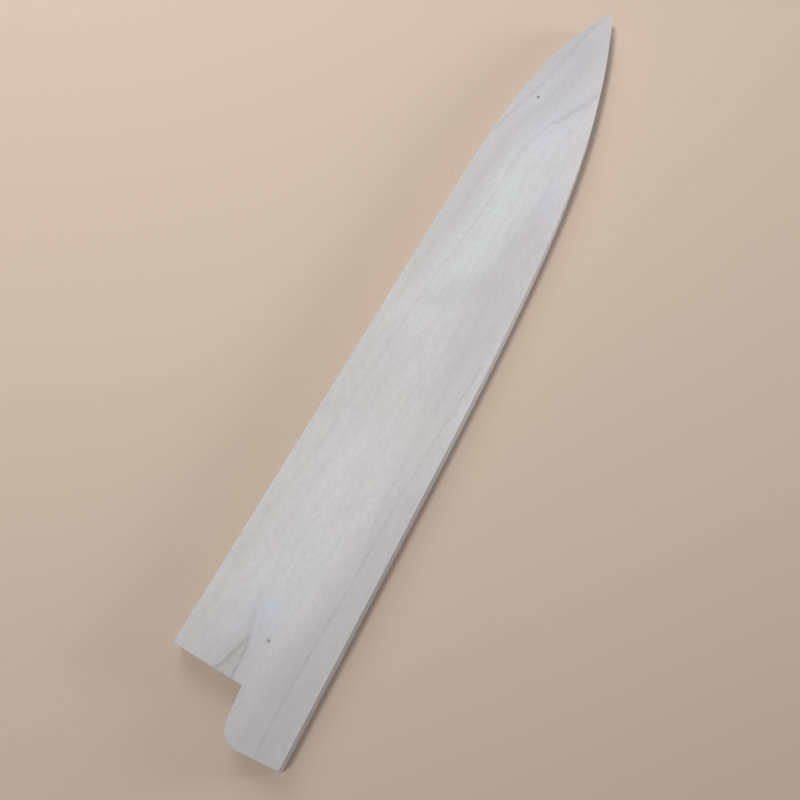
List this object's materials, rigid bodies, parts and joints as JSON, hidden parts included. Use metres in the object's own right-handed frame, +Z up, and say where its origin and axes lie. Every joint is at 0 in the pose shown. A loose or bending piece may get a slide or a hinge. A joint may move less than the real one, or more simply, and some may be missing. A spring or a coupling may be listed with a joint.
{
  "type": "knife blade sheath",
  "caption": "Flat wooden sheath for a long slicing knife: thin boards glued on strips, with a stepped mouth whose tab covers the heel of the blade.",
  "frame": {"origin": "middle of the sheath's underside, which lies on the table", "axes": "+X along the sheath from the mouth to the point, +Y across it from the cutting edge's side to the spine side, +Z up through its thickness"},
  "size_m": [0.287, 0.0472, 0.0102],
  "materials": {
    "board_wood": "bare, finely sanded pale wood",
    "strip_wood": "bare sanded pale wood"
  },
  "bodies": {
    "root": {"back_board": "board_wood", "front_board": "board_wood", "spine_strip": "strip_wood", "edge_strip": "strip_wood", "tip_block": "strip_wood"}
  },
  "joints": []
}
